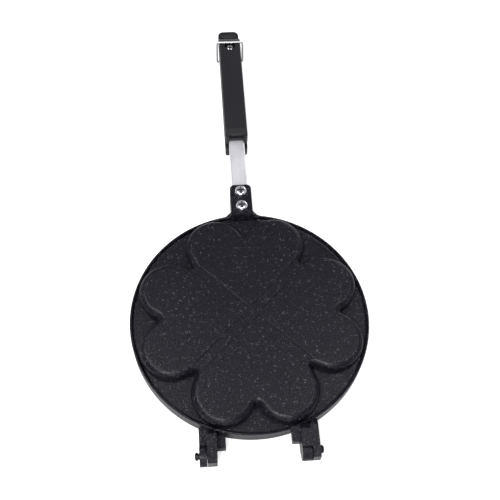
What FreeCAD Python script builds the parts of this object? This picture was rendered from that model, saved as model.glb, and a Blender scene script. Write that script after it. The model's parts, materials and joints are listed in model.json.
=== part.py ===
"""Stove-top waffle iron with a four-heart clover mould.

Two cast plates, alike but for their hinge ears, are hinged at the back, and each carries a
channel-section shank with a moulded grip. A wire bail on the lower grip swings over the nose of the
upper grip and holds the iron shut.
Millimetres. +Y runs from the hinge to the grips, +X to the right, +Z up. The origin is the middle of
the lower clover's outer face, on which the closed iron rests.
Each half is drawn with its heights counted outwards from the parting plane. The upper ears have square
ends, which meet the lower fork when the iron is open; the lower ears end in round knuckles.
"""
import FreeCAD, Part
import math
import os

Vector = FreeCAD.Vector

# Fits
overrun = 1.0
running_clearance = 0.06
press_clearance = 0.01
seat_clearance = 0.15
parting_gap = 0.3

# Plate casting
plate_radius = 95.0
rim_height = 7.0
rim_wall = 1.8
rim_foot_radius = 1.5
floor_height = 3.0
clover_height = 13.5
clover_edge_radius = 5.5
lobe_radius_share = 0.263
lobe_spread_share = 0.2515
lobe_reach_share = 0.657
notch_reach_share = 0.658
cleft_radius = 1.6
notch_radius = 1.5
groove_width = 8.0
groove_depth = 0.9
groove_start = 6.0
groove_edge_radius = 0.8

# Waffle cavity inside each plate
cavity_wall = 3.6
cavity_roof = 3.0
divider_width = 5.0
divider_drop = 1.5
rib_pitch = 14.0
rib_tip_width = 2.0
rib_root_width = 4.0
rib_height = 4.5

# Hinge
hinge_standoff = 11.5
hinge_half_span = 44.2
outer_ear_width = 5.6
narrow_ear_width = 7.2
stub_width = 6.4
stub_length = 3.5
ear_side_gap = 0.3
ear_radius = 7.8
ear_reach = 8.0
ear_height = 10.6
ear_root_slope = 5.0
bridge_setback = 0.2
fork_clearance = 0.5
pin_radius = 2.25
pin_head_radius = 3.0
pin_head_length = 2.2
pin_neck_length = 1.2

# Handle lug
lug_width = 18.4
lug_height = 9.5
lug_length = 29.6
lug_top_setback = 1.0
lug_foot_setback = 3.8
lug_corner_radius = 4.0
lug_edge_radius = 1.0
lug_flare_radius = 6.0
lug_gusset_spread = 3.8
lug_gusset_length = 3.0
lug_web = 1.5

# Shank, a bent channel
shank_width = 13.6
shank_height = 6.2
shank_wall = 1.5
shank_bend_radius = 1.2
shank_flange_end = 0.8
shank_reach = 195.2

# Grip moulding
grip_width = 20.0
grip_inner_height = 1.8
grip_outer_height = 13.3
grip_edge_radius = 1.2
grip_inner_edge_radius = 0.8
grip_offset = 76.4
upper_mouth_setback = 2.6
grip_mouth_radius = 2.0
grip_mouth_step = 1.0
grip_mouth_slope = 5.9
grip_tongue = 1.6
grip_tongue_edge_radius = 1.3
window_edge_radius = 0.9
window_width = 13.0
window_length = 5.2
socket_end_clearance = 0.3
tail_length = 24.8
tail_corner_radius = 5.0
tail_lip_length = 8.1
tail_ramp_length = 3.3
tail_ramp_drop = 1.0
hang_slot_length = 7.7
hang_slot_width = 15.2
hang_slot_corner_radius = 2.0

# Lug screws with thin nuts and spring washers
lug_screw_offsets = (7.2, 21.9)
lug_screw_radius = 2.5
lug_screw_head_radius = 5.0
lug_screw_head_height = 3.2
lug_nut_across_flats = 8.0
lug_nut_height = 2.6
lug_washer_radius = 4.3
lug_washer_height = 1.1
lug_washer_slit = 0.9

# Grip screws with nuts
grip_screw_setback = 7.8
grip_screw_radius = 2.0
grip_screw_head_radius = 3.6
grip_screw_head_height = 2.3
grip_screw_pocket_radius = 5.2
grip_screw_pocket_floor = 8.4
grip_nut_across_flats = 7.0
grip_nut_height = 2.8

# Cross recess of the screws, as shares of the head
recess_length_share = 0.60
recess_width_share = 0.16
recess_depth_share = 0.62
head_rim_share = 0.35
screw_tip_length = 0.3

# Bail wire
bail_wire_radius = 0.95
bail_pivot_setback = 9.2
bail_pivot_depth = 8.2
bail_reach = 23.06
bail_lean_degrees = 10.2
bail_side_gap = 0.3
bail_foot_bend_radius = 2.2
bail_top_bend_radius = 3.0
bail_pin_length = 2.6
bail_hole_depth = 2.9
bail_nose_gap = 0.35

half_gap = parting_gap / 2
parting_height = clover_height
cavity_depth = clover_height - cavity_roof
lobe_radius = plate_radius * lobe_radius_share
lobe_spread = plate_radius * lobe_spread_share
lobe_reach = plate_radius * lobe_reach_share
notch_reach = plate_radius * notch_reach_share
hinge_place = -plate_radius - hinge_standoff
lug_end = plate_radius + lug_length
lug_inner_top = plate_radius - lug_top_setback
lug_inner_foot = plate_radius - lug_foot_setback
lug_screw_places = [plate_radius + offset for offset in lug_screw_offsets]
hub_bore_radius = pin_radius + running_clearance
bridge_underside = ear_radius + fork_clearance
fork_root = hinge_place + ear_radius + fork_clearance
outer_ear_start = hinge_half_span - outer_ear_width
narrow_ear_end = outer_ear_start - ear_side_gap
narrow_ear_start = narrow_ear_end - narrow_ear_width
stub_end = narrow_ear_start - ear_side_gap
socket_half_width = shank_width / 2 + seat_clearance
socket_height = shank_height + seat_clearance
shank_start = plate_radius + lug_web + seat_clearance
web_underside = shank_height - shank_wall
shank_end = plate_radius + shank_reach
grip_mouth = plate_radius + grip_offset
grip_socket_end = shank_end + socket_end_clearance
grip_screw_place = shank_end - grip_screw_setback
window_end = grip_mouth + window_length
tail_end = shank_end + tail_length
hang_slot_end = tail_end - tail_lip_length
bail_pivot_place = shank_end - bail_pivot_setback
nose_radius = bail_reach - bail_wire_radius - bail_nose_gap
bail_half_width = grip_width / 2 + bail_side_gap + bail_foot_bend_radius


def block(x0, x1, y0, y1, z0, z1):
    """Box between two corners."""
    return Part.makeBox(x1 - x0, y1 - y0, z1 - z0, Vector(x0, y0, z0))


def rod_x(x0, x1, y, z, radius):
    """Round bar along X."""
    return Part.makeCylinder(radius, x1 - x0, Vector(x0, y, z), Vector(1, 0, 0))


def rod_z(x, y, z0, z1, radius):
    """Round bar along Z."""
    return Part.makeCylinder(radius, z1 - z0, Vector(x, y, z0), Vector(0, 0, 1))


def side_prism(outline, x0, x1):
    """Prism along X whose outline is given as (y, z) corners."""
    corners = [Vector(x0, y, z) for y, z in outline]
    face = Part.Face(Part.makePolygon(corners + corners[:1]))
    return face.extrude(Vector(x1 - x0, 0, 0))


def turned(edges):
    """Solid of revolution about Z of a closed profile drawn in the XZ plane."""
    face = Part.Face(Part.Wire(edges))
    return face.revolve(Vector(0, 0, 0), Vector(0, 0, 1), 360)


def round_edge(y, z, radius):
    """Corner points, in steps of 30 degrees, of an edge rounded from below (y, z) to behind it."""
    points = []
    for degrees in (0, 30, 60, 90):
        angle = math.radians(degrees)
        points.append((y + radius - radius * math.cos(angle), z - radius + radius * math.sin(angle)))
    return points


def line(p, q):
    return Part.LineSegment(Vector(p[0], 0, p[1]), Vector(q[0], 0, q[1])).toShape()


def quarter(centre, radius, start_degrees):
    """Quarter arc in the XZ plane, from an angle to 90 degrees more."""
    points = []
    for turn in (0, 45, 90):
        angle = math.radians(start_degrees + turn)
        points.append(Vector(centre[0] + radius * math.cos(angle), 0, centre[1] + radius * math.sin(angle)))
    return Part.Arc(*points).toShape()


def rounded(shape, radius, wanted):
    """Fillets the edges that the test picks."""
    edges = [edge for edge in shape.Edges if wanted(edge.BoundBox)]
    return shape.makeFillet(radius, edges)


def near(a, b):
    return abs(a - b) < half_gap


def fused(shapes):
    return shapes[0].multiFuse(shapes[1:]).removeSplitter()


def one_solid(shape):
    """The single solid of a boolean result."""
    assert len(shape.Solids) == 1, len(shape.Solids)
    return shape.Solids[0]


def rimmed_disc():
    """Recessed round floor with an upstanding rim, rounded on top and at its foot."""
    half_wall = rim_wall / 2
    inner = plate_radius - rim_wall
    shoulder = rim_height - half_wall
    foot = inner - rim_foot_radius
    return turned([
        line((0, half_gap), (plate_radius, half_gap)),
        line((plate_radius, half_gap), (plate_radius, shoulder)),
        quarter((plate_radius - half_wall, shoulder), half_wall, 0),
        quarter((plate_radius - half_wall, shoulder), half_wall, 90),
        line((inner, shoulder), (inner, floor_height + rim_foot_radius)),
        quarter((foot, floor_height + rim_foot_radius), rim_foot_radius, 270),
        line((foot, floor_height), (0, floor_height)),
        line((0, floor_height), (0, half_gap))])


def polar(centre, radius, angle):
    return Vector(centre.x + radius * math.cos(angle), centre.y + radius * math.sin(angle), centre.z)


def clover_face(inset, z):
    """Outline of eight round lobes joined by tangent lines and hollow arcs, drawn inwards by an inset."""
    a, b = lobe_spread, lobe_reach
    plan = ((b, -a), (b, a), (a, b), (-a, b), (-b, a), (-b, -a), (-a, -b), (a, -b))
    lobes = [Vector(x, y, z) for x, y in plan]
    cleft_reach = b + math.sqrt((lobe_radius + cleft_radius) ** 2 - a ** 2)
    lobe_arcs = [[] for lobe in lobes]
    hollow_arcs = []
    for k, lobe in enumerate(lobes):
        following = (k + 1) % len(lobes)
        radius, reach = (notch_radius, notch_reach + notch_radius) if k % 2 else (cleft_radius, cleft_reach)
        middle = (lobe + lobes[following]) * 0.5
        outwards = math.atan2(middle.y, middle.x)
        hollow = polar(Vector(0, 0, z), reach, outwards)
        ends = []
        for number, turn in ((k, -1), (following, 1)):
            centre = lobes[number]
            away = centre.distanceToPoint(hollow)
            lean = math.acos((lobe_radius + radius) / away) if k % 2 else 0
            angle = math.atan2(hollow.y - centre.y, hollow.x - centre.x) + turn * lean
            lobe_arcs[number].append(angle)
            ends.append(polar(hollow, -radius - inset, angle))
        hollow_arcs.append((ends[0], polar(hollow, -radius - inset, outwards), ends[1]))
    lobe_arcs[0].reverse()
    edges = []
    for k, lobe in enumerate(lobes):
        start, end = lobe_arcs[k]
        turn = (end - start) % (2 * math.pi)
        points = [polar(lobe, lobe_radius - inset, start + turn * share) for share in (0, 0.5, 1)]
        edges.append(Part.Arc(*points).toShape())
        after = (k + 1) % len(lobes)
        landing = polar(lobes[after], lobe_radius - inset, lobe_arcs[after][0])
        if k % 2:
            edges.append(Part.LineSegment(points[2], hollow_arcs[k][0]).toShape())
        edges.append(Part.Arc(*hollow_arcs[k]).toShape())
        if k % 2:
            edges.append(Part.LineSegment(hollow_arcs[k][2], landing).toShape())
    return Part.Face(Part.Wire(edges))


def clover():
    """Raised clover with a rounded upper edge."""
    body = clover_face(0, half_gap).extrude(Vector(0, 0, clover_height - half_gap))
    return rounded(body, clover_edge_radius, lambda box: near(box.ZMin, clover_height))


def groove(degrees):
    """Straight shallow groove with rounded edges, from near the middle outwards."""
    half, top = groove_width / 2, clover_height
    low, above = top - groove_depth, top + overrun
    edge = round_edge(half, top, groove_edge_radius)
    side = [(half, low)] + edge + [(half + groove_edge_radius, above)]
    strip = side_prism(side + [(-y, z) for y, z in reversed(side)], groove_start, plate_radius)
    strip.rotate(Vector(0, 0, 0), Vector(0, 0, 1), degrees)
    return strip


def diagonal_strip(start, end, width, z0, z1, degrees):
    strip = block(start, end, -width / 2, width / 2, z0, z1)
    strip.rotate(Vector(0, 0, 0), Vector(0, 0, 1), degrees)
    return strip


def waffle_ribs():
    """Grid of tapered ribs that hang from the cavity roof."""
    tip = cavity_depth - rib_height
    reach = lobe_reach + lobe_radius
    ribs_each_side = int(reach / rib_pitch)
    half_tip, half_root = rib_tip_width / 2, rib_root_width / 2
    outline = [(-half_root, cavity_depth + overrun), (-half_root, cavity_depth), (-half_tip, tip),
               (half_tip, tip), (half_root, cavity_depth), (half_root, cavity_depth + overrun)]
    ribs = []
    for step in range(-ribs_each_side, ribs_each_side + 1):
        along_x = side_prism(outline, -reach, reach)
        along_y = along_x.copy()
        along_y.rotate(Vector(0, 0, 0), Vector(0, 0, 1), 90)
        along_x.translate(Vector(0, step * rib_pitch, 0))
        along_y.translate(Vector(step * rib_pitch, 0, 0))
        ribs += [along_x, along_y]
    return ribs


def heart_cavities():
    """Hollow for the batter: four hearts parted by low dividers, with the ribs left standing."""
    hollow = clover_face(cavity_wall, 0).extrude(Vector(0, 0, cavity_depth))
    reach = plate_radius
    dividers = [diagonal_strip(-reach, reach, divider_width, divider_drop, clover_height, degrees)
                for degrees in (45, 135)]
    return hollow.cut(dividers + waffle_ribs())


def ear_blank(x0, x1, y_end):
    """Hinge ear: a flat outer face, a sloped root behind the rim and a round underside about the pin."""
    rim_inside = -math.sqrt(plate_radius ** 2 - x0 ** 2) + rim_wall
    outline = [(y_end, half_gap), (rim_inside, half_gap), (rim_inside, rim_height),
               (rim_inside - ear_root_slope, ear_height), (y_end, ear_height)]
    return side_prism(outline, x0, x1)


def hinge_ears(ear_end):
    """Wide fork on the right, guide stub beside it and narrow ear on the left, flat up to the given end."""
    right, left = hinge_half_span, -hinge_half_span
    outer_ear = ear_blank(outer_ear_start, right, ear_end)
    outer_hub = rod_x(outer_ear_start, right, hinge_place, 0, ear_radius)
    root = ear_blank(stub_end, right, fork_root)
    bridge = block(stub_end, right, hinge_place + bridge_setback, fork_root, bridge_underside, ear_height)
    narrow_ear = ear_blank(narrow_ear_start, narrow_ear_end, ear_end)
    narrow_hub = rod_x(narrow_ear_start, narrow_ear_end, hinge_place, 0, ear_radius)
    narrow = fused([narrow_ear, narrow_hub])
    narrow = narrow.mirror(Vector(0, 0, 0), Vector(1, 0, 0))
    stub_inside = stub_end - stub_width
    rim_inside = -math.sqrt(plate_radius ** 2 - stub_inside ** 2) + rim_wall
    stub = block(stub_inside, stub_end, fork_root - stub_length, rim_inside, half_gap, rim_height)
    ears = fused([outer_ear, outer_hub, root, bridge, stub])
    outer_bore = rod_x(outer_ear_start - ear_side_gap, right + overrun, hinge_place, 0, hub_bore_radius)
    narrow_bore = rod_x(left, -narrow_ear_start + overrun, hinge_place, 0, pin_radius + press_clearance)
    return [ears.cut(outer_bore), narrow.cut(narrow_bore)]


def handle_lug():
    """Hood over the shank's end, with a sloped inner wall, gussets beside it and flares into the rim."""
    half = lug_width / 2
    outline = [(lug_inner_foot, half_gap), (lug_end, half_gap), (lug_end, lug_height),
               (lug_inner_top, lug_height), (lug_inner_foot, floor_height)]
    hood = side_prism(outline, -half, half)
    hood = rounded(hood, lug_corner_radius,
                   lambda box: near(box.YMin, lug_end) and near(box.XMin, box.XMax))
    hood = rounded(hood, lug_edge_radius,
                   lambda box: near(box.ZMin, lug_height) and box.YMax > lug_inner_top + half_gap)
    wide = half + lug_gusset_spread
    y_end = lug_inner_top + lug_gusset_length
    section = ((-wide, half_gap), (wide, half_gap), (wide, floor_height),
               (half, lug_height), (-half, lug_height), (-wide, floor_height))
    wedge = [Vector(x, lug_inner_foot, z) for x, z in section]
    gusset = Part.Face(Part.makePolygon(wedge + wedge[:1])).extrude(Vector(0, y_end - lug_inner_foot, 0))
    gusset = gusset.common(side_prism(outline, -wide, wide))
    return fused([hood, gusset, lug_flares()])


def lug_flares():
    """Web between the lug's sides and the rim, its hollow corners tangent to both."""
    half = lug_width / 2
    flare = lug_flare_radius
    centre_x = half + flare
    centre_y = math.sqrt((plate_radius + flare) ** 2 - centre_x ** 2)
    rim_share = plate_radius / (plate_radius + flare)
    bisector = (math.pi + math.atan2(-centre_y, -centre_x) % (2 * math.pi)) / 2
    start, middle, end = [], [], []
    for side in (1, -1):
        start.append(Vector(side * half, centre_y, half_gap))
        middle.append(Vector(side * (centre_x + flare * math.cos(bisector)),
                             centre_y + flare * math.sin(bisector), half_gap))
        end.append(Vector(side * centre_x * rim_share, centre_y * rim_share, half_gap))
    edges = [Part.Arc(start[0], middle[0], end[0]).toShape(),
             Part.LineSegment(end[0], end[1]).toShape(),
             Part.Arc(end[1], middle[1], start[1]).toShape(),
             Part.LineSegment(start[1], start[0]).toShape()]
    return Part.Face(Part.Wire(edges)).extrude(Vector(0, 0, rim_height - half_gap))


def plate(ear_end):
    """One casting: rimmed disc, clover, hinge ears and handle lug, hollowed on the parting side."""
    raised = clover().cut([groove(degrees) for degrees in (45, 135, 225, 315)])
    body = fused([rimmed_disc(), raised, handle_lug()] + hinge_ears(ear_end))
    body = body.cut(heart_cavities())
    socket = block(-socket_half_width, socket_half_width, plate_radius + lug_web, lug_end + overrun,
                   0, socket_height)
    holes = [rod_z(0, y, 0, lug_height + overrun, lug_screw_radius + seat_clearance)
             for y in lug_screw_places]
    return one_solid(body.cut([socket] + holes))


def shank():
    """Channel with rounded bends, open towards the parting plane."""
    half = shank_width / 2
    channel = block(-half, half, shank_start, shank_end, shank_flange_end, shank_height)
    channel = rounded(channel, shank_bend_radius,
                      lambda box: near(box.ZMin, shank_height) and near(box.XMin, box.XMax))
    inside = block(-half + shank_wall, half - shank_wall, shank_start - overrun, shank_end + overrun,
                   shank_flange_end - overrun, web_underside)
    holes = [rod_z(0, y, 0, shank_height + overrun, lug_screw_radius + seat_clearance)
             for y in lug_screw_places]
    holes.append(rod_z(0, grip_screw_place, 0, shank_height + overrun, grip_screw_radius + seat_clearance))
    return one_solid(channel.cut([inside] + holes))


def grip_bar(mouth, y_end):
    """Plain bar of the grip with its mouth's corners rounded in plan."""
    half = grip_width / 2
    bar = block(-half, half, mouth, y_end, grip_inner_height, grip_outer_height)
    return rounded(bar, grip_mouth_radius, lambda box: near(box.YMax, mouth) and near(box.XMin, box.XMax))


def fitted_grip(bar, mouth):
    """Adds what both grips share: shank socket, sloped mouth with window and tongue, screw pocket."""
    half_window = window_width / 2
    before, above = grip_mouth - overrun, grip_outer_height + overrun
    step = grip_outer_height - grip_mouth_step
    slope_end = window_end + grip_mouth_slope
    slope = [(before, step), (window_end, step), (slope_end, grip_outer_height),
             (slope_end, above), (before, above)]
    tongue = round_edge(mouth, socket_height + grip_tongue, grip_tongue_edge_radius)
    roof = round_edge(window_end, step, window_edge_radius)
    low = tongue[0][1]
    floor = tongue[-1][1]
    window = [(before, low)] + tongue + [(window_end, floor)] + roof
    window += [(window_end + window_edge_radius, above), (before, above)]
    bar = rounded(bar, grip_inner_edge_radius, lambda box: near(box.ZMax, grip_inner_height))
    cuts = [block(-socket_half_width, socket_half_width, before, grip_socket_end, 0, socket_height),
            side_prism(slope, -grip_width, grip_width),
            side_prism(window, -half_window, half_window),
            rod_z(0, grip_screw_place, grip_screw_pocket_floor, above, grip_screw_pocket_radius),
            rod_z(0, grip_screw_place, 0, above, grip_screw_radius + seat_clearance)]
    return bar.cut(cuts)


def upper_grip():
    """Grip whose short nose is round about the bail's pivot, so that the wire can swing off it."""
    reach = bail_pivot_place + bail_reach
    around = block(-grip_width, grip_width, bail_pivot_place, reach + overrun, -bail_reach, bail_reach)
    nose = rod_x(-grip_width, grip_width, bail_pivot_place, -bail_pivot_depth, nose_radius)
    mouth = grip_mouth + upper_mouth_setback
    bar = rounded(grip_bar(mouth, reach), grip_edge_radius,
                  lambda box: near(box.ZMin, grip_outer_height) and box.YMin < bail_pivot_place)
    return one_solid(fitted_grip(bar.cut(around.cut(nose)), mouth))


def lower_grip():
    """Grip with a longer tail, a ramped slot to hang it by and the bail's pivot holes."""
    half = grip_width / 2
    bar = grip_bar(grip_mouth, tail_end)
    bar = rounded(bar, tail_corner_radius,
                  lambda box: near(box.YMin, tail_end) and near(box.XMin, box.XMax))
    bar = rounded(bar, grip_edge_radius, lambda box: near(box.ZMin, grip_outer_height))
    half_slot = hang_slot_width / 2
    slot = block(-half_slot, half_slot, hang_slot_end - hang_slot_length, hang_slot_end,
                 0, grip_outer_height + overrun)
    slot = rounded(slot, hang_slot_corner_radius,
                   lambda box: near(box.XMin, box.XMax) and near(box.YMin, box.YMax))
    ramp_end = hang_slot_end + tail_ramp_length
    ramp = side_prism([(hang_slot_end, 0), (ramp_end, 0), (ramp_end, grip_inner_height),
                       (hang_slot_end, grip_inner_height + tail_ramp_drop)], -half_slot, half_slot)
    grip = fitted_grip(bar, grip_mouth).cut([slot, ramp])
    holes = []
    for side in (1, -1):
        deep = side * (half - bail_hole_depth)
        hole = rod_x(0, bail_hole_depth + overrun, bail_pivot_place, bail_pivot_depth,
                     bail_wire_radius + running_clearance)
        if side < 0:
            hole = hole.mirror(Vector(0, 0, 0), Vector(1, 0, 0))
        hole.translate(Vector(deep, 0, 0))
        holes.append(hole)
    return one_solid(grip.cut(holes))


def screw(radius, tip, head_seat, head_radius, head_height):
    """Pan-head screw with a cross recess, standing along Z on the head's underside."""
    rim = head_height * head_rim_share
    crown = head_height - rim
    stem = rod_z(0, 0, tip, head_seat, radius)
    head = rod_z(0, 0, head_seat, head_seat + head_height, head_radius)
    head = rounded(head, crown, lambda box: near(box.ZMin, head_seat + head_height))
    arm = head_radius * recess_length_share
    half_width = head_radius * recess_width_share
    floor = head_seat + head_height * (1 - recess_depth_share)
    top = head_seat + head_height + overrun
    cross = [block(-arm, arm, -half_width, half_width, floor, top),
             block(-half_width, half_width, -arm, arm, floor, top)]
    return one_solid(fused([stem, head]).cut(cross))


def hex_nut(across_flats, height, bore_radius, z_top):
    corner = across_flats / math.sqrt(3)
    corners = [Vector(corner * math.cos(math.radians(60 * k)), corner * math.sin(math.radians(60 * k)),
                      z_top - height) for k in range(6)]
    face = Part.Face(Part.makePolygon(corners + corners[:1]))
    nut = face.extrude(Vector(0, 0, height))
    return one_solid(nut.cut(rod_z(0, 0, z_top - height - overrun, z_top + overrun, bore_radius)))


def spring_washer(radius, bore_radius, height, slit, z_top):
    ring = rod_z(0, 0, z_top - height, z_top, radius)
    ring = ring.cut(rod_z(0, 0, z_top - height - overrun, z_top + overrun, bore_radius))
    return one_solid(ring.cut(block(0, radius + overrun, -slit / 2, slit / 2,
                                    z_top - height - overrun, z_top + overrun)))


def hinge_pin():
    """Headed pin, pressed into the left narrow ear and free in the other half's outer ear."""
    head_inside = -hinge_half_span - pin_neck_length
    stem = rod_x(head_inside, -narrow_ear_start, hinge_place, 0, pin_radius)
    head = rod_x(head_inside - pin_head_length, head_inside, hinge_place, 0, pin_head_radius)
    head = rounded(head, pin_head_radius / 2, lambda box: near(box.XMax, head_inside - pin_head_length))
    return one_solid(fused([stem, head]))


def bail():
    """Bent wire: two pivot ends, two arms and a cross piece, all in one leaning plane."""
    foot, top = bail_foot_bend_radius, bail_top_bend_radius
    pin_end = grip_width / 2 - bail_pin_length
    wide, reach = bail_half_width, bail_reach
    lean = math.radians(bail_lean_degrees)

    def at(x, along):
        return Vector(x, bail_pivot_place + along * math.sin(lean),
                      parting_height - bail_pivot_depth + along * math.cos(lean))

    def bend(centre_x, centre_along, radius, start_degrees, turn_degrees):
        points = []
        for share in (0, 0.5, 1):
            angle = math.radians(start_degrees + share * turn_degrees)
            points.append(at(centre_x + radius * math.cos(angle), centre_along + radius * math.sin(angle)))
        return Part.Arc(*points).toShape()

    def run(p, q):
        return Part.LineSegment(p, q).toShape()

    path = Part.Wire([
        run(at(-pin_end, 0), at(-wide + foot, 0)),
        bend(-wide + foot, foot, foot, 270, -90),
        run(at(-wide, foot), at(-wide, reach - top)),
        bend(-wide + top, reach - top, top, 180, -90),
        run(at(-wide + top, reach), at(wide - top, reach)),
        bend(wide - top, reach - top, top, 90, -90),
        run(at(wide, reach - top), at(wide, foot)),
        bend(wide - foot, foot, foot, 0, -90),
        run(at(wide - foot, 0), at(pin_end, 0))])
    section = Part.Wire(Part.Circle(at(-pin_end, 0), Vector(-1, 0, 0), bail_wire_radius).toShape())
    return one_solid(path.makePipeShell([section], True, False))


def on_upper(shape):
    placed = shape.copy()
    placed.translate(Vector(0, 0, parting_height))
    return placed


def on_lower(shape):
    """The lower half is drawn like the upper one and turned half round about the length of the iron."""
    placed = shape.copy()
    placed.rotate(Vector(0, 0, 0), Vector(0, 1, 0), 180)
    placed.translate(Vector(0, 0, parting_height))
    return placed


def moved(shape, y):
    placed = shape.copy()
    placed.translate(Vector(0, y, 0))
    return placed


def assembly():
    """All nodes of the iron, by name."""
    channel = shank()
    nut_top = web_underside - lug_washer_height
    lug_screw = screw(lug_screw_radius, nut_top - lug_nut_height - screw_tip_length, lug_height,
                      lug_screw_head_radius, lug_screw_head_height)
    lug_nut = hex_nut(lug_nut_across_flats, lug_nut_height, lug_screw_radius + running_clearance, nut_top)
    lug_washer = spring_washer(lug_washer_radius, lug_screw_radius + seat_clearance, lug_washer_height,
                               lug_washer_slit, web_underside)
    grip_screw = screw(grip_screw_radius, web_underside - grip_nut_height - screw_tip_length,
                       grip_screw_pocket_floor, grip_screw_head_radius, grip_screw_head_height)
    grip_nut = hex_nut(grip_nut_across_flats, grip_nut_height, grip_screw_radius + running_clearance,
                       web_underside)
    upper_plate = plate(hinge_place - ear_reach)
    lower_plate = plate(hinge_place + bridge_setback)
    nodes = {}
    for half, place, casting, grip in (("upper", on_upper, upper_plate, upper_grip()),
                                       ("lower", on_lower, lower_plate, lower_grip())):
        nodes[half + "_plate"] = place(casting)
        nodes[half + "_shank"] = place(channel)
        nodes[half + "_grip"] = place(grip)
        for number, y in enumerate(lug_screw_places, 1):
            nodes["%s_lug_screw_%d" % (half, number)] = place(moved(lug_screw, y))
            nodes["%s_lug_washer_%d" % (half, number)] = place(moved(lug_washer, y))
            nodes["%s_lug_nut_%d" % (half, number)] = place(moved(lug_nut, y))
        nodes[half + "_grip_screw"] = place(moved(grip_screw, grip_screw_place))
        nodes[half + "_grip_nut"] = place(moved(grip_nut, grip_screw_place))
        nodes[half + "_hinge_pin"] = place(hinge_pin())
    nodes["latch_bail"] = bail()
    return nodes


os.makedirs("parts", exist_ok=True)
for name, shape in assembly().items():
    shape.exportStep("parts/%s.step" % name)
    print(name, shape.isValid(), len(shape.Solids), round(shape.Volume), len(shape.Faces))
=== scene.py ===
"""Looks of a clover-shaped stove-top waffle iron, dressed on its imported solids.

Metres, in the frame of the solids: +Y from the hinge to the grips, +Z up, the iron lying on z = 0.
The castings, shanks, grips, pins and bail keep their solids' meshes and get finishes made of nodes.
The screws and nuts are surfaces worked out here, with cross recesses, threads and chamfers.
"""

import json
import bpy
import numpy as np
from mathutils import Matrix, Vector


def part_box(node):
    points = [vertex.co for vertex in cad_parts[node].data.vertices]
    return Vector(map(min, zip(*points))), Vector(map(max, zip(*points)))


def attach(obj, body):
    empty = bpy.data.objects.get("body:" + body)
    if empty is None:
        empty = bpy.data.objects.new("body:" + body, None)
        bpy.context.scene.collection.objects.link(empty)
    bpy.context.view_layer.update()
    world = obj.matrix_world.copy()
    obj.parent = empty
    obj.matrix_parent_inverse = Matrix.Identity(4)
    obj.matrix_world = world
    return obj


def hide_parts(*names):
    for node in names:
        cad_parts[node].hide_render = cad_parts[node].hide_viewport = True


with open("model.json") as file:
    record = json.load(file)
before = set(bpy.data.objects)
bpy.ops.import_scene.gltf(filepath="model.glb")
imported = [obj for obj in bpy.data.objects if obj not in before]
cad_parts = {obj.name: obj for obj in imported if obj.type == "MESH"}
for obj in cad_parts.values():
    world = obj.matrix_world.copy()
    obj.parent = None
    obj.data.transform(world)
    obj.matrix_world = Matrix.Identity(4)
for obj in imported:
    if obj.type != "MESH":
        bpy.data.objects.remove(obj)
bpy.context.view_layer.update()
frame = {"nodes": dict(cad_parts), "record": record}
nodes = frame["nodes"]
scene = bpy.context.scene
scene.view_settings.view_transform = "Standard"

MM = 0.001
TURN = 2 * np.pi


# Finishes

class Finish:
    """A material and its node tree, with short ways to add the nodes the finishes here use."""

    def __init__(self, name):
        self.material = bpy.data.materials.new(name)
        self.material.use_nodes = True
        self.tree = self.material.node_tree
        self.shader = self.tree.nodes["Principled BSDF"]
        self.coordinates = self.tree.nodes.new("ShaderNodeTexCoord")

    def add(self, kind, inputs=(), **settings):
        """A node with its settings, and each named input set to a value or linked to a socket."""
        node = self.tree.nodes.new(kind)
        for key, value in settings.items():
            setattr(node, key, value)
        for key, value in dict(inputs).items():
            self.feed(node, key, value)
        return node

    def feed(self, node, key, value):
        """Links a socket to an input, or sets the input to a value."""
        if isinstance(value, bpy.types.NodeSocket):
            self.tree.links.new(value, node.inputs[key])
        else:
            node.inputs[key].default_value = value

    def shade(self, **inputs):
        """Sets or links inputs of the shader; a double underscore stands for a space in their names."""
        for key, value in inputs.items():
            self.feed(self.shader, key.replace("__", " "), value)

    def place(self, stretch=(1, 1, 1)):
        """Coordinates of the piece, stretched along each axis."""
        inputs = {"Vector": self.coordinates.outputs["Object"], "Scale": stretch}
        return self.add("ShaderNodeMapping", inputs).outputs[0]

    def noise(self, scale, detail, roughness=0.5, where=None):
        """Cloudy value from 0 to 1."""
        inputs = {"Vector": where or self.place(), "Scale": scale, "Detail": detail, "Roughness": roughness}
        return self.add("ShaderNodeTexNoise", inputs).outputs["Fac"]

    def cells(self, scale):
        """Distance from the middle of the nearest of many scattered cells."""
        inputs = {"Vector": self.place(), "Scale": scale}
        return self.add("ShaderNodeTexVoronoi", inputs).outputs["Distance"]

    def span(self, value, low, high, start, end):
        """Carries a value from one range to another, kept inside it."""
        inputs = {"Value": value, "From Min": low, "From Max": high, "To Min": start, "To Max": end}
        return self.add("ShaderNodeMapRange", inputs).outputs[0]

    def sums(self, a, b, operation="ADD"):
        """Sum of two values, or another operation on them."""
        return self.add("ShaderNodeMath", {0: a, 1: b}, operation=operation).outputs[0]

    def blend(self, share, first, second):
        """Mix of two colours by a share."""
        mix = self.add("ShaderNodeMix", data_type="RGBA")
        self.feed(mix, "Factor", share)
        for index, colour in ((6, first), (7, second)):
            self.feed(mix, index, colour if isinstance(colour, bpy.types.NodeSocket) else (*colour, 1))
        return mix.outputs[2]

    def bump(self, height, strength, depth):
        """Surface relief from a height; depth is the relief's size in metres."""
        inputs = {"Height": height, "Strength": strength, "Distance": depth}
        return self.add("ShaderNodeBump", inputs).outputs[0]


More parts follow.
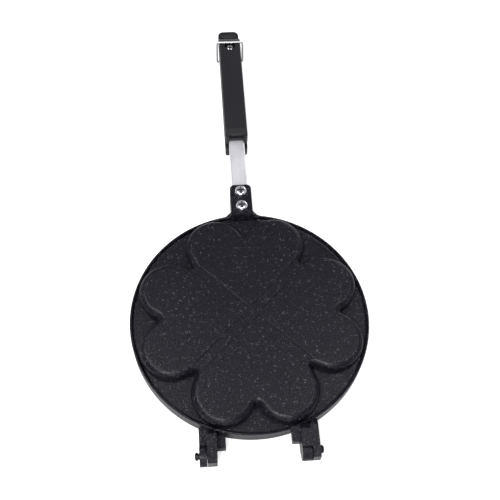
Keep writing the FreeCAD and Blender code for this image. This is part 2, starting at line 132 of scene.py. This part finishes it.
def nonstick_coat():
    """Black baked coat on a sand-cast skin: pebbled relief, grey grain and sparse pale flecks."""
    f = Finish("nonstick_coat")
    pebbles = f.noise(620, 2.0, 0.55)
    grain = f.noise(1150, 1.0)
    cloud = f.noise(38, 3)
    flecks = f.span(f.cells(780), 0.14, 0.30, 1, 0)
    sparse = f.span(f.noise(330, 1), 0.52, 0.62, 0, 1)
    flecks = f.sums(flecks, sparse, "MULTIPLY")
    black = f.blend(f.span(cloud, 0.3, 0.7, 0, 1), (0.0008, 0.0007, 0.0018), (0.0020, 0.0018, 0.0036))
    grained = f.blend(f.span(grain, 0.48, 0.66, 0, 1), black, (0.021, 0.020, 0.028))
    f.shade(Base__Color=f.blend(flecks, grained, (0.12, 0.12, 0.135)),
            Specular__IOR__Level=0.16,
            Roughness=f.span(grain, 0.35, 0.65, 0.36, 0.25),
            Normal=f.bump(f.sums(pebbles, f.sums(grain, 0.6, "MULTIPLY")), 0.42, 0.5 * MM))
    return f.material


def phenolic_moulding():
    """Satin black moulding: fine matt skin from the tool, faint flow clouds."""
    f = Finish("phenolic_moulding")
    skin = f.noise(2600, 2)
    flow = f.noise(45, 2, where=f.place((1, 0.25, 1)))
    dark, light = (0.0062, 0.0054, 0.0072), (0.0088, 0.0078, 0.0100)
    f.shade(Base__Color=f.blend(f.span(flow, 0.3, 0.7, 0, 1), dark, light),
            Specular__IOR__Level=0.30,
            Roughness=f.span(f.sums(skin, flow), 0.6, 1.4, 0.40, 0.50),
            Normal=f.bump(skin, 0.20, 0.08 * MM))
    return f.material


def brushed(name, colour, roughness, lines, relief):
    """Plated metal with fine lines along Y and a slightly clouded gloss."""
    f = Finish(name)
    streaks = f.noise(lines, 3, 0.6, f.place((1, 0.012, 1)))
    cloud = f.noise(60, 2)
    darker = tuple(0.93 * c for c in colour)
    f.shade(Base__Color=f.blend(f.span(cloud, 0.3, 0.7, 0, 1), darker, colour), Metallic=1.0,
            Roughness=f.span(f.sums(streaks, cloud), 0.7, 1.3, roughness - 0.06, roughness + 0.06),
            Normal=f.bump(streaks, relief, 0.02 * MM))
    return f.material


def plated(name, colour, roughness, metallic=1.0):
    """Bright or matt plating with small clouds and pin-point pits."""
    f = Finish(name)
    cloud = f.noise(900, 3)
    pits = f.span(f.cells(1500), 0.0, 0.12, 1, 0)
    duller = tuple(0.94 * c for c in colour)
    f.shade(Base__Color=f.blend(f.span(cloud, 0.35, 0.65, 0, 1), duller, colour), Metallic=metallic,
            Roughness=f.span(cloud, 0.3, 0.7, roughness - 0.05, roughness + 0.07),
            Normal=f.bump(f.sums(cloud, pits, "SUBTRACT"), 0.05, 0.01 * MM))
    return f.material


finishes = {
    "nonstick_casting": nonstick_coat(),
    "grip_phenolic": phenolic_moulding(),
    "shank_steel": brushed("satin_plate", (0.97, 0.97, 0.98), 0.40, 1500, 0.12),
    "screw_steel": plated("bright_nickel", (0.86, 0.86, 0.87), 0.16),
    "fixing_steel": plated("dull_zinc", (0.60, 0.61, 0.63), 0.38),
    "pin_steel": plated("oiled_steel", (0.025, 0.025, 0.028), 0.42),
    "bail_wire": plated("wire_plate", (0.66, 0.66, 0.67), 0.34, 0.85),
}
# Painted shade: a dark plating laid on the screws' cross recesses, standing in for the shade that falls
# inside them.
painted_recess_shade = plated("painted_recess_shade", (0.06, 0.06, 0.062), 0.50)
for part in frame["record"]["subparts"]:
    node = nodes[part["node"]]
    for held in node.material_slots:
        held.material = finishes[part["material_slot"]]


# Fasteners, in millimetres

LUG_SCREW = {"head_radius": 5.0, "head_height": 3.2, "stem_radius": 2.5, "length": 8.8, "pitch": 0.8}
GRIP_SCREW = {"head_radius": 3.6, "head_height": 2.3, "stem_radius": 2.0, "length": 6.8, "pitch": 0.7}
LUG_NUT = {"across_flats": 8.0, "height": 2.6, "bore": 2.56}
GRIP_NUT = {"across_flats": 7.0, "height": 2.8, "bore": 2.06}


def ring_mesh(name, points, top=None, tip=None):
    """Mesh of rows of points that each run once round an axis, outwards from the top and down.

    Neighbouring rows are joined by quads. With a top and a tip point the ends are closed by fans;
    without them the last row is joined to the first, as on a ring."""
    count, around = points.shape[:2]
    index = np.arange(count * around).reshape(count, around)
    if top is None:
        index = np.vstack([index, index[:1]])
    ahead = np.roll(index, -1, axis=1)
    faces = np.stack([index[:-1], index[1:], ahead[1:], ahead[:-1]], -1).reshape(-1, 4).tolist()
    corners = points.reshape(-1, 3)
    if top is not None:
        first = np.full(around, len(corners))
        faces += np.stack([first, index[0], ahead[0]], -1).tolist()
        faces += np.stack([index[-1], first + 1, ahead[-1]], -1).tolist()
        corners = np.vstack([corners, top, tip])
    mesh = bpy.data.meshes.new(name)
    mesh.from_pydata(corners.tolist(), [], faces)
    return mesh


def cross_recess(x, y, half_width, arm, depth):
    """Depth of a cross recess at each point: two tapered slots with sloping floors and a round middle."""
    soft = 0.22 * half_width

    def slot(along, across):
        width = half_width * (1 - 0.25 * along / arm)
        inside = np.clip((width - across) / soft + 0.5, 0, 1) * np.clip((arm - along) / soft + 0.5, 0, 1)
        return depth * inside * (1 - 0.5 * np.clip(along / arm, 0, 1) ** 2)

    middle = depth * np.clip((1.5 * half_width - np.hypot(x, y)) / soft + 0.5, 0, 1)
    return np.maximum(np.maximum(slot(abs(x), abs(y)), slot(abs(y), abs(x))), middle)


def pan_head_screw(head_radius, head_height, stem_radius, length, pitch):
    """Screw in millimetres with its seat at z = 0, as one grid of rows round the axis.

    The head's radius runs out over a slightly domed top less the cross recess, a quarter-round edge
    and the rim; below the seat the radius is a rising saw of the height over the pitch plus the turn,
    cut flat at crest and root, which makes the thread, and it narrows at the tip."""
    turn = np.linspace(0, TURN, 120, endpoint=False)
    edge = 0.65 * head_height
    flat = head_radius - edge
    r_top = np.linspace(0.02, 1, 52) * flat
    bow = np.linspace(0, np.pi / 2, 12)[1:]
    dome = 0.03 * head_height
    seat_edge, stem_gap = 0.05, 0.02
    r = np.concatenate([r_top, flat + edge * np.sin(bow),
                        [head_radius, head_radius - seat_edge, stem_radius + stem_gap]])
    z = np.concatenate([head_height + dome * (1 - (r_top / flat) ** 2) - dome,
                        head_height - edge + edge * np.cos(bow), [seat_edge, 0, 0]])
    r = np.repeat(r[:, None], len(turn), 1)
    z = np.repeat(z[:, None], len(turn), 1)
    recess = cross_recess(r * np.cos(turn), r * np.sin(turn),
                          0.17 * head_radius, 0.62 * head_radius, 0.55 * head_height)
    z -= recess
    down = np.arange(stem_gap, length, pitch / 9)[:, None]
    saw = abs(2 * ((down / pitch + turn / TURN) % 1) - 1)
    cut = np.clip(down / pitch - 0.4, 0, 1)
    plain = np.clip(1.4 - down / pitch, 0, 1)
    thread = np.clip(1.3 * saw - 0.15, 0, 1) * cut + plain
    narrow = np.clip((length - down) / (0.8 * pitch), 0, 1)
    radius = stem_radius * (1 - 0.13 * (1 - np.clip(thread, 0, 1))) * (0.80 + 0.20 * narrow)
    r = np.vstack([r, radius])
    z = np.vstack([z, np.repeat(-down, len(turn), 1)])
    points = np.stack([r * np.cos(turn), r * np.sin(turn), z], -1)
    # Painted shade: faces deep in the cross recess are marked to take a dark plating that stands for the
    # shade inside the recess.
    shaded_recess = np.zeros((len(r) - 1, len(turn)), np.int32)
    shaded_recess[:len(recess) - 1] = recess[1:] > 0.2 * head_height
    return points, (0, 0, head_height * 0.45), (0, 0, -length), shaded_recess


def chamfered_nut(across_flats, height, bore):
    """Six-sided nut in millimetres on z = 0, as rows round a closed profile.

    The outer radius is half the width over flats divided by the cosine of the angle from the nearest
    flat's middle; the top and bottom fall off along a cone past the flats' circle."""
    turn = np.linspace(0, TURN, 96, endpoint=False)
    six = 0.5 * across_flats / np.cos(turn % (TURN / 6) - TURN / 12)
    rim = np.full_like(turn, 0.48 * across_flats)
    fall = 0.5 * (six - rim)
    mouth = np.full_like(turn, bore * 1.12)
    hole = np.full_like(turn, bore)
    lip = 0.12 * bore
    flat = np.zeros_like(turn)
    r = np.stack([mouth, rim, six, six, rim, mouth, hole, hole])
    top = flat + height
    z = np.stack([top, top, height - fall, fall, flat, flat, flat + lip, top - lip])
    return np.stack([r * np.cos(turn), r * np.sin(turn), z], -1)


def put(name, points, node, slot, flip, ends=(None, None), shaded_recess=None):
    """Sets millimetre points at a node's own place, turned over on the lower half, to stand for the node.

    Faces marked as shaded recess, and the fan round the top point, take the dark plating painted as the
    shade in the cross recess."""
    low, high = (np.array(corner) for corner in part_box(node))
    sign = np.array([-1, 1, -1]) if flip else np.array([1, 1, 1])
    middle = 0.5 * (low + high)
    top = np.max(points[..., 2]) * MM
    base = low[2] + top if flip else high[2] - top
    origin = np.array([middle[0], middle[1], base])
    placed = [None if p is None else np.array(p) * sign * MM + origin for p in (points, *ends)]
    mesh = ring_mesh(name, *placed)
    mesh.shade_smooth()
    mesh.set_sharp_from_angle(angle=np.radians(35))
    mesh.materials.append(finishes[slot])
    # Painted shade: the marked recess faces and the top fan get the dark plating painted as recess shade.
    if shaded_recess is not None:
        mesh.materials.append(painted_recess_shade)
        fans = np.repeat([1, 0], shaded_recess.shape[1])
        mesh.polygons.foreach_set("material_index", np.concatenate([shaded_recess.ravel(), fans]).astype(np.int32))
    piece = bpy.data.objects.new(name, mesh)
    scene.collection.objects.link(piece)
    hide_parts(node)
    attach(piece, "lower_half" if flip else "upper_half")


def put_screw(name, node, sizes, flip):
    """Sets a screw of the given sizes in a node's place."""
    points, top, tip, shaded_recess = pan_head_screw(**sizes)
    put(name, points, node, "screw_steel", flip, (top, tip), shaded_recess)


def put_nut(name, node, sizes, flip):
    """Sets a nut of the given sizes in a node's place."""
    put(name, chamfered_nut(**sizes), node, "fixing_steel", flip)


for half in ("upper", "lower"):
    flip = half == "lower"
    for number in (1, 2):
        place = (half, number)
        put_screw("%s_lug_cross_screw_%d" % place, "%s_lug_screw_%d" % place, LUG_SCREW, flip)
        put_nut("%s_lug_hex_nut_%d" % place, "%s_lug_nut_%d" % place, LUG_NUT, flip)
    put_screw("%s_grip_cross_screw" % half, "%s_grip_screw" % half, GRIP_SCREW, flip)
    put_nut("%s_grip_hex_nut" % half, "%s_grip_nut" % half, GRIP_NUT, flip)


# Studio

def white_where_seen(tree, lit, seen):
    """Mix of two shaders: seen for camera and transmission rays, lit for all others."""
    path = tree.nodes.new("ShaderNodeLightPath")
    top = tree.nodes.new("ShaderNodeMath")
    top.operation = "MAXIMUM"
    tree.links.new(path.outputs["Is Camera Ray"], top.inputs[0])
    tree.links.new(path.outputs["Is Transmission Ray"], top.inputs[1])
    mix = tree.nodes.new("ShaderNodeMixShader")
    tree.links.new(top.outputs[0], mix.inputs[0])
    tree.links.new(lit, mix.inputs[1])
    tree.links.new(seen, mix.inputs[2])
    return mix.outputs[0]


def studio_floor(half_side):
    """Flat white sheet under the iron, as a grid of two parameters, with a glow where it is seen
    that grows with the distance from the origin."""
    steps = 9
    across = np.linspace(-half_side, half_side, steps)
    x, y = np.meshgrid(across, across)
    points = np.stack([x, y, np.zeros_like(x)], -1).reshape(-1, 3)
    mesh = bpy.data.meshes.new("studio_floor")
    rows = np.arange(steps * steps).reshape(steps, steps)
    quads = np.stack([rows[:-1, :-1], rows[:-1, 1:], rows[1:, 1:], rows[1:, :-1]], -1).reshape(-1, 4)
    mesh.from_pydata(points.tolist(), [], quads.tolist())
    material = bpy.data.materials.new("white_sheet")
    material.use_nodes = True
    tree = material.node_tree
    paint = tree.nodes["Principled BSDF"]
    paint.inputs["Base Color"].default_value = (0.72, 0.72, 0.72, 1)
    paint.inputs["Roughness"].default_value = 0.9
    glow = tree.nodes.new("ShaderNodeEmission")
    place = tree.nodes.new("ShaderNodeTexCoord")
    away = tree.nodes.new("ShaderNodeVectorMath")
    away.operation = "LENGTH"
    tree.links.new(place.outputs["Object"], away.inputs[0])
    far = tree.nodes.new("ShaderNodeMapRange")
    for socket, value in {"From Min": 0.6, "From Max": 1.6, "To Min": 0.62, "To Max": 1.0}.items():
        far.inputs[socket].default_value = value
    tree.links.new(away.outputs["Value"], far.inputs["Value"])
    tree.links.new(far.outputs[0], glow.inputs["Strength"])
    both = tree.nodes.new("ShaderNodeAddShader")
    tree.links.new(paint.outputs[0], both.inputs[0])
    tree.links.new(glow.outputs[0], both.inputs[1])
    out = tree.nodes["Material Output"]
    tree.links.new(white_where_seen(tree, paint.outputs[0], both.outputs[0]), out.inputs["Surface"])
    mesh.materials.append(material)
    floor = bpy.data.objects.new("studio_floor", mesh)
    scene.collection.objects.link(floor)
    floor.location.z = -0.05 * MM


def studio_world(strength):
    """Faintly cool soft light from all round, plain white where the camera sees it."""
    world = bpy.data.worlds.new("studio")
    world.use_nodes = True
    scene.world = world
    tree = world.node_tree
    soft = tree.nodes["Background"]
    soft.inputs["Color"].default_value = (0.94, 0.92, 1, 1)
    soft.inputs["Strength"].default_value = strength
    white = tree.nodes.new("ShaderNodeBackground")
    white.inputs["Color"].default_value = (1, 1, 1, 1)
    path = tree.nodes.new("ShaderNodeLightPath")
    mix = tree.nodes.new("ShaderNodeMixShader")
    tree.links.new(path.outputs["Is Camera Ray"], mix.inputs[0])
    tree.links.new(soft.outputs[0], mix.inputs[1])
    tree.links.new(white.outputs[0], mix.inputs[2])
    tree.links.new(mix.outputs[0], tree.nodes["World Output"].inputs["Surface"])


def soft_box(name, place, aim, size, power):
    """Square area lamp that looks at a point."""
    lamp = bpy.data.lights.new(name, "AREA")
    lamp.size = size
    lamp.energy = power
    box = bpy.data.objects.new(name, lamp)
    scene.collection.objects.link(box)
    back = np.array(place, float) - np.array(aim, float)
    back /= np.linalg.norm(back)
    right = np.cross((0, 1, 0), back)
    right /= np.linalg.norm(right)
    up = np.cross(back, right)
    axes = np.stack([right, up, back, np.array(place, float)], 1)
    box.matrix_world = Matrix([*axes.tolist(), [0, 0, 0, 1]])


studio_floor(4.0)
studio_world(0.40)
soft_box("left_lamp", (-0.55, 0.23, 1.5), (0, 0, 0), 0.4, 9)
soft_box("right_lamp", (0.55, 0.23, 1.5), (0, 0, 0), 0.4, 5)
soft_box("front_lamp", (-0.30, -0.66, 1.20), (0, 0, 0), 0.4, 14)
soft_box("low_lamp", (-0.10, -1.20, 0.60), (0, 0.05, 0), 0.7, 4)
soft_box("back_lamp", (0.75, 1.15, 0.60), (0, 0.05, 0), 0.6, 3)

camera = bpy.data.objects.new("camera", bpy.data.cameras.new("camera"))
scene.collection.objects.link(camera)
camera.data.sensor_width = 36
camera.data.lens = 56.33
camera.matrix_world = Matrix((
    (0.99714, 0.04536, -0.06052, -0.03513),
    (-0.06900, 0.87330, -0.48227, -0.25325),
    (0.03097, 0.48507, 0.87393, 0.58889),
    (0, 0, 0, 1)))
scene.camera = camera
